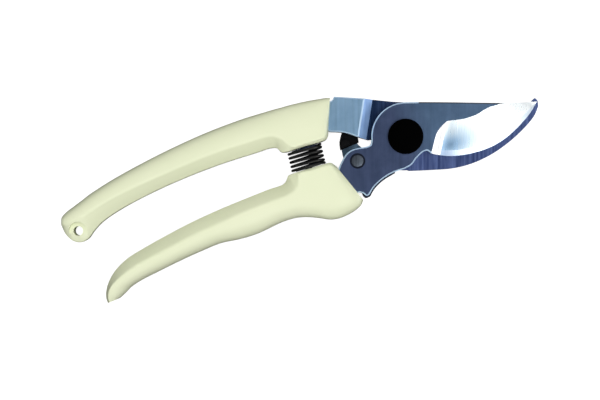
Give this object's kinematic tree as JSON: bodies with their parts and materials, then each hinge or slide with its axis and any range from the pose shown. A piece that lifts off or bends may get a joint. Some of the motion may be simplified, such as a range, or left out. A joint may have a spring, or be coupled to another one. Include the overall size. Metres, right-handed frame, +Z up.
{
  "type": "bypass pruner",
  "caption": "Forged one-hand bypass pruner with a ground cutting blade, hooked counter-blade, cream moulded grips, coil return spring and a thumb safety catch.",
  "frame": {"origin": "on the pivot axis, at the bolt's end face, in the plane the tool lies on", "axes": "+X from the pivot to the blade tips along the tool, +Y from the lower handle to the upper one, +Z up from the back of the tool to its front"},
  "size_m": [0.2032, 0.0528, 0.0152],
  "materials": {
    "blade_steel": "polished forged steel with a ground bevel",
    "hook_steel": "satin blued forged steel",
    "grip": "smooth semi-gloss cream moulding",
    "black_steel": "black oxide, semi-gloss",
    "plated_steel": "satin zinc plate",
    "catch_steel": "satin stamped steel",
    "black_plastic": "fine matt moulding"
  },
  "bodies": {
    "blade_side": {"cutting_blade": "blade_steel", "lower_grip": "grip", "lower_spring_peg": "plated_steel", "pivot_bolt": "black_steel", "pivot_nut": "plated_steel", "tab_washer": "plated_steel", "pivot_shim": "plated_steel", "catch_pin": "plated_steel", "catch_washer": "plated_steel", "return_spring": "black_steel"},
    "hook_side": {"hook_blade": "hook_steel", "upper_grip": "grip", "upper_spring_peg": "plated_steel", "keeper_stud": "plated_steel"},
    "catch": {"catch_lever": "catch_steel", "catch_pad": "black_plastic"}
  },
  "joints": [
    {"name": "blade_pivot", "type": "hinge", "parent": "blade_side", "child": "hook_side", "pos_m": [0, 0, 0.0077], "axis": [0, 0, -1], "range_deg": [0, 25], "stiffness_Nm_per_rad": 1.4, "springref_deg": 42.97, "deforming": ["return_spring"]},
    {"name": "catch_pivot", "type": "hinge", "parent": "blade_side", "child": "catch", "pos_m": [-0.0221, -0.0027, 0.0021], "axis": [0, 0, -1], "range_deg": [0, 16]}
  ]
}
